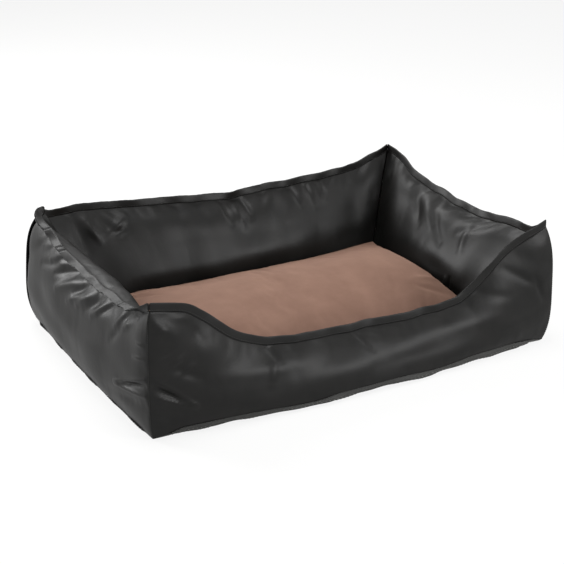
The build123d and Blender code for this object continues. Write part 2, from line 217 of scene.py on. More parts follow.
walls = {
    "left": {
        "along": (0, -1), "outward": (-1, 0), "half": 290.0, "reach": 430.0, "bow": 8.0,
        "cheek": 24.0, "innerCheek": 34.0, "inset": 12.0, "lean": 100.0, "seed": 3,
        "corners": (17.0, 8.0), "tips": (-24.0, 0.0), "crest": 18.0,
        "foot": [(-290, 3), (-200, 4), (200, 5), (290, 6)],
        "rim": [(-290, 246), (-262, 234), (-200, 219), (-150, 211), (-90, 206), (-20, 204), (60, 208),
                (110, 214), (170, 225), (235, 236), (290, 240)],
    },
    "right": {
        "along": (0, 1), "outward": (1, 0), "half": 290.0, "reach": 430.0, "bow": 8.0,
        "cheek": 20.0, "innerCheek": 34.0, "inset": 6.0, "lean": 18.0, "seed": 11,
        "corners": (12.0, 10.0), "tips": (-8.0, 0.0), "crest": 7.0,
        "foot": [(-290, 4), (-200, 7), (200, 7), (290, 6)],
        "rim": [(-290, 250), (-262, 228), (-231, 214), (-173, 211), (-91, 200), (-38, 197),
                (54, 202), (110, 206), (170, 214), (232, 236), (290, 244)],
    },
    "rear": {
        "along": (-1, 0), "outward": (0, 1), "half": 430.0, "reach": 290.0, "bow": 31.0,
        "cheek": 25.0, "innerCheek": 34.0, "inset": 13.0, "lean": 12.0, "seed": 23,
        "corners": (10.0, 17.0), "tips": (0.0, -12.0), "crest": 6.0,
        "foot": [(-430, 6), (-360, 10), (360, 10), (430, 6)],
        "rim": [(-430, 240), (-385, 222), (-331, 225), (-264, 220), (-172, 213), (-54, 203),
                (19, 197), (81, 202), (196, 204), (280, 207), (340, 213), (397, 230), (430, 244)],
    },
    "front": {
        "along": (1, 0), "outward": (0, -1), "half": 430.0, "reach": 290.0, "bow": 31.0,
        "cheek": 14.0, "innerCheek": 19.0, "inset": 24.0, "lean": -10.0, "seed": 31,
        "corners": (8.0, 12.0), "tips": (0.0, -8.0), "crest": 6.0,
        "foot": [(-430, 3), (-398, 7), (-365, 15), (-250, 17), (-110, 12), (-60, 17), (60, 18),
                 (150, 14), (240, 19), (330, 17), (395, 11), (430, 4)],
        "rim": [(-430, 246), (-395, 238), (-360, 227), (-328, 206), (-299, 181), (-269, 157),
                (-240, 140), (-190, 124), (-140, 115), (-29, 110), (84, 108), (178, 111),
                (229, 120), (259, 138), (293, 169), (327, 199), (362, 220), (397, 236),
                (430, 250)],
    },
}


def smoothed(points, x):
    # A curve through the points that never overshoots them
    if x <= points[0][0]:
        return points[0][1]
    if x >= points[-1][0]:
        return points[-1][1]
    slopes = [(b[1] - a[1]) / (b[0] - a[0]) for a, b in zip(points, points[1:])]
    index = max(i for i in range(len(slopes)) if points[i][0] <= x)

    def tangent(i):
        before, after = slopes[max(i - 1, 0)], slopes[min(i, len(slopes) - 1)]
        return 0 if before * after <= 0 else 2 * before * after / (before + after)
    span = points[index + 1][0] - points[index][0]
    t = (x - points[index][0]) / span
    low, high = points[index][1], points[index + 1][1]
    return (low * (1 + 2 * t) * (1 - t) ** 2 + high * t * t * (3 - 2 * t)
            + span * t * (1 - t) * (tangent(index) * (1 - t) - tangent(index + 1) * t))


def place(wall, share, u, z):
    run = share * (wall["half"] - bed["mitreGap"] + u)
    out = wall["reach"] + u
    x = wall["along"][0] * run + wall["outward"][0] * out
    y = wall["along"][1] * run + wall["outward"][1] * out
    return Vector((x, y, z)) * mm


def section(wall, share):
    # The lines of a wall's cross-section, share -1 to 1 of the way along
    middle = 1 - share * share
    curl = wall["bow"] * share * share / wall["half"] ** 2
    foot = wall["bow"]
    if curl > 0:
        foot = (sqrt(1 + 4 * curl * (wall["half"] + foot)) - 1) / (2 * curl) - wall["half"]
    fade = min(1, (1 - abs(share)) * 9)
    run = share * wall["half"]
    sway = noise.noise((run * bed["swayPerMm"], wall["seed"], 0)) * bed["sway"] * fade
    tip = wall["tips"][share > 0] * abs(share) ** 8
    seamU = -wall["inset"] * middle + sway + tip
    height = smoothed(wall["rim"], (run + share * seamU) * sum(wall["along"]))
    height = height + noise.noise((run * bed["unevenPerMm"], wall["seed"], 5)) * bed["uneven"] * fade
    low, high = wall["corners"]
    corner = low + (high - low) * (share + 1) / 2
    return {
        "seam": (seamU, height), "lip": (foot, smoothed(wall["foot"], run * sum(wall["along"]))),
        "middle": middle, "floorEdge": (-bed["footWidth"], bed["floorTop"]),
        "outer": corner + (wall["cheek"] - corner) * middle ** 0.6,
        "inner": bed["cornerInnerCheek"] + (wall["innerCheek"] - bed["cornerInnerCheek"]) * middle,
        "boxy": bed["boxy"][1] - (bed["boxy"][1] - bed["boxy"][0]) * middle,
    }


def arcPoint(start, end, sagitta, t):
    # A point of the shallow arc that swells to the right of start to end
    du, dz = end[0] - start[0], end[1] - start[1]
    length = sqrt(du * du + dz * dz)
    radius = (length * length / 4 + sagitta * sagitta) / (2 * sagitta)
    turn = (2 * t - 1) * asin(min(1, length / 2 / radius))
    along = radius * sin(turn)
    rise = radius * cos(turn) - radius + sagitta
    middle = ((start[0] + end[0]) / 2, (start[1] + end[1]) / 2)
    return (middle[0] + (du * along + dz * rise) / length,
            middle[1] + (dz * along - du * rise) / length)


def swellPoint(start, end, reach, boxy, t):
    # A point of a swelling line that is the squarer, the more boxy is above 2
    du, dz = end[0] - start[0], end[1] - start[1]
    length = sqrt(du * du + dz * dz)
    out = reach * (1 - abs(2 * t - 1) ** boxy)
    return start[0] + du * t + dz / length * out, start[1] + dz * t - du / length * out


def outerPoint(wall, share, t):
    cut = section(wall, share)
    return place(wall, share, *swellPoint(cut["lip"], cut["seam"], cut["outer"], cut["boxy"], t))


def innerPoint(wall, share, t):
    # The stuffing lifts the cloth into a crest a fifth of the way down from the seam
    cut = section(wall, share)
    u, z = arcPoint(cut["seam"], cut["floorEdge"], cut["inner"], t)
    crest = wall["crest"] * cut["middle"] * (t / 0.2 * exp(1 - t / 0.2)) ** 2
    return place(wall, share, u - 0.2 * crest, z + crest)


def newPiece(name, shape, material, smooth=True):
    mesh = bpy.data.meshes.new(name)
    shape.to_mesh(mesh)
    shape.free()
    mesh.materials.append(material)
    for polygon in mesh.polygons:
        polygon.use_smooth = smooth
    piece = bpy.data.objects.new(name, mesh)
    scene.collection.objects.link(piece)
    return piece


def clothGrid(name, columns, rows, surface, facing, size, material):
    # A grid bent onto a surface of (-1..1, 0..1), with a UV map in metres
    shape = bmesh.new()
    layer = shape.loops.layers.uv.new("cloth")
    bmesh.ops.create_grid(shape, x_segments=columns, y_segments=rows, size=1, calc_uvs=True)
    spots = [(vertex.co.x, (vertex.co.y + 1) / 2) for vertex in shape.verts]
    for vertex, spot in zip(shape.verts, spots):
        vertex.co = surface(*spot)
    for face in shape.faces:
        for loop in face.loops:
            loop[layer].uv = (loop[layer].uv.x * size[0], loop[layer].uv.y * size[1])
    shape.normal_update()
    shape.faces.ensure_lookup_table()
    middle = shape.faces[len(shape.faces) // 2 + columns // 2]
    if middle.normal.dot(Vector(facing)) < 0:
        bmesh.ops.reverse_faces(shape, faces=shape.faces[:])
    return newPiece(name, shape, material), spots


def closeShape(shape, gap):
    bmesh.ops.remove_doubles(shape, verts=shape.verts[:], dist=gap)
    bmesh.ops.holes_fill(shape, edges=[e for e in shape.edges if e.is_boundary], sides=0)
    bmesh.ops.recalc_face_normals(shape, faces=shape.faces[:])


def thicken(piece, thickness):
    skin = piece.modifiers.new("Solidify", "SOLIDIFY")
    skin.thickness = thickness * mm
    skin.offset = -1


def pushOut(piece, spots, amount):
    # Moves each point along its normal by amount(spot, point), in millimetres
    normals = [vertex.normal.copy() for vertex in piece.data.vertices]
    for vertex, normal, spot in zip(piece.data.vertices, normals, spots):
        vertex.co = vertex.co + normal * (amount(spot, vertex.co) * mm)
    piece.data.update()


# Gathers: short ridges and hollows that run off a seam where the cloth is fuller than the
# seam. They are kept by place along it, width, reach, slant and depth
def makeGathers(seed, low, high, spacing, depth, reach, slant):
    random = Random(seed)
    gathers, at = [], low
    while at < high:
        at = at + spacing * random.uniform(0.5, 1.6)
        gathers.append({
            "at": at, "width": random.uniform(5, 11) * sqrt(1 + slant * slant),
            "reach": reach * random.uniform(0.5, 1.5), "slant": slant + random.uniform(-0.4, 0.4),
            "depth": depth * random.uniform(0.4, 1.3) * random.choice((-1, -1, 1)),
        })
    return gathers


def gatherDepth(gathers, at, away):
    total = 0
    for g in gathers:
        off = (at - g["at"] - g["slant"] * away) / (g["width"] * (1 + away / 60))
        if abs(off) < 2.5 and away < 4 * g["reach"]:
            total = total + g["depth"] * exp(-off * off - away / g["reach"]) * min(1, away / 8)
    return total


# Strokes: folds and dents drawn from one (along, height) to another
def strokeDepth(strokes, at, height):
    total = 0
    for a0, z0, a1, z1, width, depth in strokes:
        da, dz = a1 - a0, z1 - z0
        length = da * da + dz * dz
        t = min(max(((at - a0) * da + (height - z0) * dz) / length, 0), 1)
        away = ((at - a0 - da * t) ** 2 + (height - z0 - dz * t) ** 2) / (width * width)
        if away < 6:
            total = total + depth * exp(-away) * (0.35 + 0.65 * sin(pi * min(max(t, 0.05), 0.95)))
    return total


# Cloth simulation: every cloth of the bed swells in one run, each held along its seams
swelling = {
    "frames": 22, "items": [], "excess": (0.004, 0.035),
    "settings": {
        "quality": 5, "mass": 0.18, "tension_stiffness": 18, "compression_stiffness": 18,
        "shear_stiffness": 8, "bending_stiffness": 0.3, "tension_damping": 6,
        "compression_damping": 6, "shear_damping": 6, "air_damping": 3, "pin_stiffness": 1,
        "vertex_group_mass": "held", "use_pressure": True, "vertex_group_shrink": "fuller",
    },
}


def addCloth(piece, held, fuller, keep, pressure, cap):
    # held are the sewn points, fuller says where there is cloth to spare, and keep how much of
    # its move each point keeps, up to cap millimetres
    group = piece.vertex_groups.new(name="held")
    group.add(held, 1.0, "REPLACE")
    slack = piece.vertex_groups.new(name="fuller")
    for index, weight in enumerate(fuller):
        slack.add([index], weight, "REPLACE")
    cloth = piece.modifiers.new("Cloth", "CLOTH")
    settings = cloth.settings
    for key, value in swelling["settings"].items():
        setattr(settings, key, value)
    settings.uniform_pressure_force = pressure
    settings.shrink_min, settings.shrink_max = (-part for part in swelling["excess"])
    settings.effector_weights.gravity = 0
    cloth.collision_settings.use_collision = False
    cloth.point_cache.frame_start = 1
    cloth.point_cache.frame_end = swelling["frames"]
    swelling["items"].append((piece, cloth, cap, keep))


def swellAll():
    for number in range(1, swelling["frames"] + 1):
        scene.frame_set(number)
    graph = bpy.context.evaluated_depsgraph_get()
    for piece, cloth, cap, keep in swelling["items"]:
        moved = [vertex.co.copy() for vertex in piece.evaluated_get(graph).data.vertices]
        piece.modifiers.remove(cloth)
        for vertex, new, part in zip(piece.data.vertices, moved, keep):
            step = (new - vertex.co) * part
            if step.length > cap * mm:
                step = step * (cap * mm / step.length)
            vertex.co = vertex.co + step
        piece.data.update()
    scene.frame_set(1)


# How each cloth of the walls is gathered: spacing, depth, reach and slant at the top seam,
# the foot seam and the corner seams
gathering = {
    "left": {"top": (24, 3.0, 26, -1.3), "foot": (60, 1.2, 14, 0.0), "corner": (34, 1.5, 16, 0.2)},
    "right": {"top": (30, 2.2, 22, 0.5), "foot": (55, 1.2, 14, 0.0), "corner": (34, 1.5, 16, 0.2)},
    "rear": {"top": (34, 2.2, 22, 0.3), "foot": (60, 1.2, 14, 0.0), "corner": (34, 1.5, 16, 0.2)},
    "front": {"top": (40, 1.6, 20, 0.9), "foot": (48, 1.4, 16, 0.0), "corner": (30, 1.8, 18, 0.3)},
}

innerGathering = {
    "left": (44, 1.2, 24, 0.6), "right": (44, 2.2, 34, 1.0), "rear": (52, 2.2, 26, 0.2),
    "front": (40, 1.6, 18, 0.2),
}

# Folds and dents that the photo shows: from one x or y and height to another, then width and
# depth, which is negative for a hollow
outerStrokes = {
    "left": [
        (-290, 104, -196, 76, 9, -4.0), (-290, 107, -234, 88, 3, -4.0), (-290, 120, -172, 70, 3, 3.6),
        (-290, 88, -172, 64, 3, 3.4), (-206, 80, -172, 67, 4, 2.4),
        (-262, 66, -200, 48, 8, -2.4), (-287, 182, -262, 178, 3, 2.6), (-287, 158, -250, 148, 3, 2.6),
        (-192, 204, -161, 172, 8, 4.0), (-214, 214, -180, 186, 7, -3.5), (-116, 192, -60, 152, 8, 4.0),
        (-134, 196, -90, 166, 7, -3.5), (-52, 188, 8, 148, 8, 4.0), (-84, 186, -30, 150, 8, -3.0),
        (-20, 190, 28, 160, 7, -3.4), (12, 190, 105, 146, 8, 4.0), (36, 200, 120, 168, 6, -3.0),
        (59, 204, 152, 184, 8, 3.4), (88, 206, 140, 184, 7, -3.4), (150, 216, 200, 196, 9, 3.0),
        (-250, 222, -214, 196, 6, -3.2), (-236, 208, -196, 180, 6, 3.2), (-180, 168, -150, 140, 9, -2.6),
        (120, 188, 190, 164, 7, -3.0), (-4, 168, 50, 138, 7, 3.0), (40, 150, 160, 120, 18, 2.4),
        (-120, 130, 20, 104, 20, -2.4), (-240, 60, -120, 34, 12, -2.0),
    ],
    "front": [
        (-430, 104, -368, 64, 9, -4.0), (-430, 107, -384, 74, 3, -4.0), (-430, 120, -350, 56, 3, 3.6),
        (-430, 88, -352, 50, 3, 3.4), (-378, 68, -350, 56, 4, 2.4), (-400, 140, -340, 104, 9, -3.0),
        (-428, 228, -386, 193, 8, 3.0), (-424, 206, -400, 206, 4, 2.4), (-394, 140, -371, 153, 5, 2.4),
        (-380, 120, -356, 131, 5, 2.4), (-428, 60, -408, 39, 4, 2.4), (-386, 226, -350, 214, 7, 2.6),
        (-420, 160, -392, 170, 5, -2.4), (-352, 200, -330, 170, 8, -2.2),
        (-200, 136, -180, 94, 7, -2.2), (-192, 94, -204, 64, 8, 2.2), (-15, 116, 16, 76, 5, -2.0),
        (-300, 96, -120, 84, 14, 2.2), (-160, 60, 60, 66, 16, 2.0), (20, 52, 220, 60, 14, -2.0),
        (120, 88, 300, 84, 14, 2.4), (240, 140, 330, 122, 10, -2.4), (330, 172, 400, 132, 8, -2.6),
        (392, 150, 416, 99, 6, -3.0), (300, 60, 400, 72, 14, 2.0),
    ],
    "rear": [(-300, 120, -60, 108, 18, 2.4), (0, 84, 260, 96, 16, -2.2), (120, 150, 320, 140, 16, 2.4)],
    "right": [(-200, 110, -40, 96, 16, 2.4), (20, 140, 200, 120, 14, -2.2), (-60, 60, 160, 64, 14, 2.0)],
}

innerStrokes = {
    "rear": [
        (-348, 218, -329, 150, 13, -5.0), (-300, 212, -262, 178, 12, -5.0), (-322, 206, -300, 168, 8, 4.0),
        (-275, 182, -235, 202, 7, 4.0), (-262, 176, -236, 182, 8, -2.6),
        (-10, 198, -4, 160, 7, -4.5), (14, 198, 22, 150, 8, 3.5), (37, 200, 44, 166, 7, -4.5),
        (161, 206, 172, 168, 7, -3.0), (201, 208, 206, 160, 7, -3.5), (239, 212, 236, 172, 8, 3.0),
        (-300, 150, 300, 140, 24, -2.5), (-260, 96, 240, 92, 20, 2.5),
    ],
    "right": [
        (140, 205, 60, 150, 9, -4.0), (100, 200, 20, 160, 10, 3.0), (55, 196, -30, 138, 9, -3.5),
        (-76, 186, -97, 140, 9, 3.0), (-120, 200, -60, 168, 8, -3.5), (20, 120, -120, 100, 20, 2.5),
        (-96, 84, -92, 40, 4, -4.0), (-82, 80, -86, 40, 4, 3.0),
    ],
    "left": [(-120, 170, 60, 150, 14, 2.5), (-40, 110, 140, 96, 16, -2.0)],
    "front": [(-180, 80, 60, 70, 12, 2.0), (100, 76, 240, 66, 12, -2.0)],
}


# What holds near the seams. Each entry is a share and the distance over which it fades
clothFit = {
    "slack": {"top": (1.0, 34), "end": (0.4, 40), "foot": (0.2, 30)},
    "keep": {"top": (1.0, 42), "end": (0.3, 34), "foot": (0.5, 24)}, "keepLow": 0.1, "keepRise": 0.6,
    "footGathers": 0.8, "lumpDepth": 3.4, "lumpsPerMm": (0.009, 0.021), "lumpFade": 20,
    "outerPressure": 2.6, "innerPressure": 2.4, "outerCap": 9, "innerCap": 8, "innerGirth": 1.25,
}


def wallCloth(name, wall, outer):
    random = Random(wall["seed"] + (0 if outer else 500))
    point = outerPoint if outer else innerPoint
    side = "outer" if outer else "inner"
    half = wall["half"]
    heights = [section(wall, k / 10)["seam"][1] for k in range(-10, 11)]
    tall = sum(heights) / len(heights) * (1.0 if outer else clothFit["innerGirth"])
    columns = int(2 * half / bed["mesh"])
    rows = int(tall / bed["mesh"])
    outward = Vector((wall["outward"][0], wall["outward"][1], 0))
    facing = outward if outer else Vector((0, 0, 1)) - outward
    piece, spots = clothGrid(
        f"{name}_{side}_cloth", columns, rows, lambda share, t: point(wall, share, t), facing,
        (2 * half * mm, tall * mm), oxfordCloth)
    tops = gathering[name]["top"] if outer else innerGathering[name]
    seeds = [random.randint(1, 9999) for _ in range(4)]
    top = makeGathers(seeds[0], -half, half, *tops)
    foot = makeGathers(seeds[1], -half, half, *gathering[name]["foot"])
    ends = [makeGathers(seeds[k], 20, 240, *gathering[name]["corner"]) for k in (2, 3)]

    def seamGaps(spot):
        # How far a point lies from the seams at its top, its nearer end and its foot
        share, t = spot
        return {"top": (1 - t if outer else t) * tall, "end": (1 - abs(share)) * half,
                "foot": (t if outer else 1 - t) * tall}

    def amount(spot, co):
        gap = seamGaps(spot)
        run, height = spot[0] * half, co.z / mm
        total = gatherDepth(top, run, gap["top"])
        total = total + clothFit["footGathers"] * gatherDepth(foot, run, gap["foot"])
        total = total + gatherDepth(ends[spot[0] > 0], height, gap["end"])
        hold = min(1, *(distance / clothFit["lumpFade"] for distance in gap.values()))
        long, high = clothFit["lumpsPerMm"]
        return total + hold * noise.noise((run * long, height * high, seeds[0])) * clothFit["lumpDepth"]
    pushOut(piece, spots, amount)
    held = [i for i, (share, t) in enumerate(spots) if abs(share) > 0.999 or t < 0.001 or t > 0.999]
    fuller, keep = [], []
    for spot in spots:
        gap = seamGaps(spot)
        fuller.append(max(0.0, *(part * (1 - gap[seam] / reach)
                                 for seam, (part, reach) in clothFit["slack"].items())))
        near = max(part * exp(-(gap[seam] / reach) ** 2) for seam, (part, reach) in clothFit["keep"].items())
        keep.append(clothFit["keepLow"] + clothFit["keepRise"] * near)
    addCloth(piece, held, fuller, keep, clothFit[f"{side}Pressure"], clothFit[f"{side}Cap"])
    long = 2 * half if outer else 2 * half - bed["footWidth"]
    return piece, spots, tall * mm, long * mm


print("walls: cutting the cloths")
cloths = {}
for wallName, wall in walls.items():
    for outer in (True, False):
        cloths[wallName, outer] = wallCloth(wallName, wall, outer)


# The cushion: two crowned cloths sewn along its waist, flat below where it rests, with a
# flat band for the zip. The places repeat part.py's, apart from a higher crown
cushion = {
    "half": 323.4, "waist": 177.0, "endWidth": 181.0, "seam": 65.0, "crown": 44.0, "belly": 89.0,
    "edge": 2.5, "ends": 11.0, "low": 13.9, "zipDrop": 23.0, "facetDepth": 2.6, "mesh": 6.0,
    "cornerPull": 6.0, "cornerLift": 12.0, "liftHalf": 324.0, "drawIn": 3.0, "sideAbove": 20.0,
    "cloth": 1.0, "length": 634.0, "girths": (420.0, 360.0), "evenOut": 0.15,
}
bellyRadius = (cushion["waist"] ** 2 + cushion["belly"] ** 2) / (2 * cushion["belly"])
zipY = cushion["waist"] - cushion["zipDrop"]
zipSlope = asin(zipY / bellyRadius)
zipOut = Vector((0, sin(zipSlope), -cos(zipSlope)))
zipSide = Vector((0, cos(zipSlope), sin(zipSlope)))
zipZ = cushion["seam"] - cushion["belly"] + bellyRadius - sqrt(bellyRadius ** 2 - zipY ** 2)
zipOrigin = Vector((0, zipY, zipZ)) - zipOut * cushion["facetDepth"]


def cushionPoint(along, t, upper, inset=0.0):
    share = along * (1 + cushion["evenOut"] - cushion["evenOut"] * along * along)
    full = sqrt(max(0.0, 1 - abs(share) ** cushion["ends"]))
    half = cushion["waist"] + (cushion["endWidth"] - cushion["waist"]) * share * share
    half = half - cushion["cornerPull"] * abs(share) ** 14 - 2 * inset
    rise = (cushion["crown"] if upper else cushion["belly"]) - cushion["edge"]
    sagitta = cushion["edge"] + rise * full - inset
    if upper:
        y, z = arcPoint((half, cushion["seam"]), (-half, cushion["seam"]), sagitta, t)
    else:
        y, z = arcPoint((-half, cushion["seam"]), (half, cushion["seam"]), sagitta, t)
    drawIn = cushion["drawIn"] * (1 - (2 * t - 1) ** 8)
    point = Vector((share * (cushion["half"] - 2 * inset - drawIn), y, z))
    if upper or z > cushion["low"] + cushion["sideAbove"]:
        # The far right corner is pressed up into the corner of the walls
        right, back = max(0, point.x / cushion["liftHalf"]), max(0, y / cushion["endWidth"])
        point.z = z + cushion["cornerLift"] * right ** 3 * back ** 2
    if not upper:
        over = (point - zipOrigin).dot(zipOut) + inset
        if over > 0:
            point = point - zipOut * over
        point.z = max(point.z, cushion["low"] + inset)
    return point * mm


# How the cushion's cloths are gathered and swell. Pairs are for the lower and upper cloth
cushionFit = {
    "endGathers": (30, 1.8, 24, 0.2), "sideGathers": (52, 1.0, 16, 0.0), "lowerGathers": 0.6,
    "toEnd": 316, "toSide": 178, "flatTo": 0.4, "lumpFade": 14, "lumpDepth": 3.0, "lumpsPerMetre": 9,
    "slackReach": 50, "pressures": (1.0, 1.6), "caps": (3, 6), "seeds": (72, 71),
}


def restsFlat(co):
    # Whether a point of the lower cloth lies on the band of the zip or on the cushion's foot
    offBand = abs((co / mm - zipOrigin).dot(zipOut))
    return min(offBand, co.z / mm - cushion["low"]) < cushionFit["flatTo"]


def makeCushionCloth(name, upper):
    girth = cushion["girths"][upper]
    columns = int(2 * cushion["half"] / cushion["mesh"])
    piece, spots = clothGrid(
        name, columns, int(girth / cushion["mesh"]), lambda along, t: cushionPoint(along, t, upper),
        (0, 0, 1 if upper else -1), (cushion["length"] * mm, girth * mm), cushionCloth)
    random = Random(cushionFit["seeds"][upper])
    ends = [makeGathers(random.randint(1, 999), -180, 180, *cushionFit["endGathers"]) for _ in (0, 1)]
    sides = [makeGathers(random.randint(1, 999), -310, 310, *cushionFit["sideGathers"]) for _ in (0, 1)]

    def seamGaps(along, t):
        return (1 - abs(along)) * cushionFit["toEnd"], (1 - abs(2 * t - 1)) * cushionFit["toSide"]

    def amount(spot, co):
        toEnd, toSide = seamGaps(*spot)
        total = gatherDepth(ends[spot[0] > 0], co.y / mm, toEnd)
        total = total + gatherDepth(sides[spot[1] > 0.5], co.x / mm, toSide)
        if not upper:
            return 0 if restsFlat(co) else cushionFit["lowerGathers"] * total
        hold = min(1, toEnd / cushionFit["lumpFade"], toSide / cushionFit["lumpFade"])
        lump = noise.noise(co * cushionFit["lumpsPerMetre"] + Vector((4, 0, 0)))
        return total + hold * lump * cushionFit["lumpDepth"]
    pushOut(piece, spots, amount)
    held = []
    for index, (along, t) in enumerate(spots):
        onFlat = not upper and restsFlat(piece.data.vertices[index].co)
        if abs(along) > 0.999 or t < 0.001 or t > 0.999 or onFlat:
            held.append(index)
    fuller = [max(0.0, 1 - min(seamGaps(*spot)) / cushionFit["slackReach"]) for spot in spots]
    addCloth(piece, held, fuller, [1.0] * len(spots), cushionFit["pressures"][upper],
             cushionFit["caps"][upper])
    return piece, spots


print("cushion: cutting the cloths")
cushionTop, topSpots = makeCushionCloth("cushion_top_cloth", True)
cushionBottom, _ = makeCushionCloth("cushion_bottom_cloth", False)

print("simulating the cloths")
swellAll()


def refined(piece, spots):
    # Halves the mesh smoothly, so that sharp folds can be pressed in, and finds its spots
    smoother = piece.modifiers.new("Subdivision", "SUBSURF")
    smoother.levels = smoother.render_levels = 1
    smoother.boundary_smooth = "PRESERVE_CORNERS"
    marks = piece.data.attributes.new("spot", "FLOAT_VECTOR", "POINT")
    for index, spot in enumerate(spots):
        marks.data[index].vector = (spot[0], spot[1], 0)
    graph = bpy.context.evaluated_depsgraph_get()
    mesh = bpy.data.meshes.new_from_object(piece.evaluated_get(graph))
    piece.modifiers.remove(smoother)
    piece.data = mesh
    found = [(mark.vector[0], mark.vector[1]) for mark in mesh.attributes["spot"].data]
    mesh.attributes.remove(mesh.attributes["spot"])
    return found


def finishWalls():
    for (name, outer), (piece, spots, tall, long) in cloths.items():
        spots = refined(piece, spots)
        wall = walls[name]
        strokes = (outerStrokes if outer else innerStrokes)[name]
        axis = 0 if wall["along"][0] else 1
        pushOut(piece, spots, lambda spot, co: strokeDepth(strokes, co[axis] / mm, co.z / mm)
                * min(1, (1 - abs(spot[0])) * 60, spot[1] * 30, (1 - spot[1]) * 30))
        thicken(piece, bed["clothThickness"])
        side = "outer" if outer else "inner"
        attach(piece, "bed")
        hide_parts(f"{name}_{side}_panel")


# Stuffing of a wall: a closed lumpy roll inside its two cloths
stuffing = {
    "inset": 8.0, "bottom": 4.0, "bottomRise": 10.0, "lumpMm": 2.5, "lumpsPerMetre": 40,
    "columnMm": 12.0, "around": 28, "endShare": 0.985, "outerShare": 0.97, "innerShares": (0.03, 0.94),
}


def makeStuffing(name, wall):
    shape = bmesh.new()
    columns = int(2 * wall["half"] / stuffing["columnMm"])
    bmesh.ops.create_grid(shape, x_segments=columns, y_segments=stuffing["around"], size=1)
    for vertex in shape.verts:
        share = vertex.co.x * stuffing["endShare"]
        # t runs up the outer side to 1, down the inner side to 2 and back underneath to 3
        t = (vertex.co.y + 1) / 2 % 1 * 3
        cut = section(wall, share)
        inset = stuffing["inset"]
        if t < 1:
            u, z = swellPoint(cut["lip"], cut["seam"], cut["outer"], cut["boxy"],
                              t * stuffing["outerShare"])
            u = u - inset
        elif t < 2:
            first, span = stuffing["innerShares"]
            u, z = arcPoint(cut["seam"], cut["floorEdge"], cut["inner"], first + (t - 1) * span)
            u = u + inset * 1.5
        else:
            u = cut["floorEdge"][0] + inset + (cut["lip"][0] - cut["floorEdge"][0] - 2 * inset) * (t - 2)
            z = stuffing["bottom"] + stuffing["bottomRise"] * (1 - (t - 2))
        co = place(wall, share, u, z)
        lump = noise.noise(co * stuffing["lumpsPerMetre"])
        vertex.co = co + Vector((0, 0, 1)) * lump * stuffing["lumpMm"] * mm
    closeShape(shape, 0.2 * mm)
    piece = newPiece(f"{name}_stuffing", shape, wadding)
    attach(piece, "bed")
    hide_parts(f"{name}_fill")


print("walls: stuffing")
for wallName, wall in walls.items():
    makeStuffing(wallName, wall)
finishWalls()

# Hems: two plies sewn together above the seam. The profile is across and up, in millimetres
hem = {
    "stationMm": 4.0, "wrapMm": 34.0, "ripple": 2.2, "roughPerMm": (0.16, 0.45), "roughGain": 1.6,
    "neat": [(1.3, -2.2), (1.45, 3), (1.35, 8), (1.3, 12), (1.0, 14.0), (0.4, 14.7), (-0.4, 14.7),
             (-1.0, 14.0), (-1.3, 12), (-1.35, 8), (-1.45, 3), (-1.3, -2.2)],
    "raw": [(1.4, -2.2), (1.6, 4), (1.5, 9), (1.7, 13), (1.5, 16.0), (0.9, 15.7), (0.2, 10),
            (-0.5, 15.0), (-1.2, 15.2), (-1.6, 12), (-1.6, 4), (-1.4, -2.2)],
    "wave": {"left": 9.0, "right": 9.0, "rear": 10.0, "front": 6.0},
    "ragged": {"left": 1.6, "right": 0.3, "rear": 0.5, "front": 0.25},
}


def hemFrame(name, share):
    # The seam point, and the along, up and across directions of the hem there
    wall = walls[name]
    cut = section(wall, share)
    at = place(wall, share, *cut["seam"])
    step = 0.004
    low, high = max(-1, share - step), min(1, share + step)
    tangent = place(wall, high, *section(wall, high)["seam"])
    tangent = (tangent - place(wall, low, *section(wall, low)["seam"])).normalized()
    fade = 1 - abs(share) ** 10
    run = share * wall["half"]
    lean = radians(wall["lean"] * (1 - abs(share) ** (7 if name == "left" else 2.5)))
    lean = lean + radians(hem["wave"][name]) * noise.noise((run * 0.02, wall["seed"], 9)) * fade * 2
    outward = (place(wall, share, 10, 0) - place(wall, share, 0, 0)).normalized()
    up = outward * sin(lean) + Vector((0, 0, cos(lean)))
    up = (up - tangent * tangent.dot(up) * fade).normalized()
    across = tangent.cross(up).normalized()
    if across.dot(outward) < 0:
        across = -across
    return at, tangent, up, across


def makeHem(name):
    wall = walls[name]
    profile = hem["raw" if name == "left" else "neat"]
    count = len(profile)
    shape = bmesh.new()
    layer = shape.loops.layers.uv.new("cloth")
    columns = int(2 * wall["half"] / hem["stationMm"])
    bmesh.ops.create_grid(shape, x_segments=columns, y_segments=count, size=1, calc_uvs=True)
    for vertex in shape.verts:
        share = vertex.co.x
        row = int(round((vertex.co.y + 1) / 2 * count)) % count
        at, tangent, up, across = hemFrame(name, share)
        side, height = profile[row]
        run = share * wall["half"]
        coarse, fine = hem["roughPerMm"]
        rough = noise.noise((run * coarse, row * 0.35, wall["seed"]))
        rough = rough + 0.6 * noise.noise((run * fine, row * 0.5, wall["seed"]))
        high = max(0, height - 8) / 7
        height = height + rough * hem["ragged"][name] * high * hem["roughGain"]
        ripple = noise.noise((run * 0.03, 3, wall["seed"])) * hem["ripple"]
        side = side + ripple * max(0, height) / 15 * (1 - abs(share) ** 12)
        vertex.co = at + up * (height * mm) + across * (side * mm)
    for face in shape.faces:
        for loop in face.loops:
            u, v = loop[layer].uv
            loop[layer].uv = (u * 2 * wall["half"] * mm, v * hem["wrapMm"] * mm)
    closeShape(shape, 0.05 * mm)
    piece = newPiece(f"{name}_hem", shape, oxfordCloth)
    smoother = piece.modifiers.new("Subdivision", "SUBSURF")
    smoother.levels = smoother.render_levels = 1
    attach(piece, "bed")


print("hems")
for wallName in walls:
    makeHem(wallName)


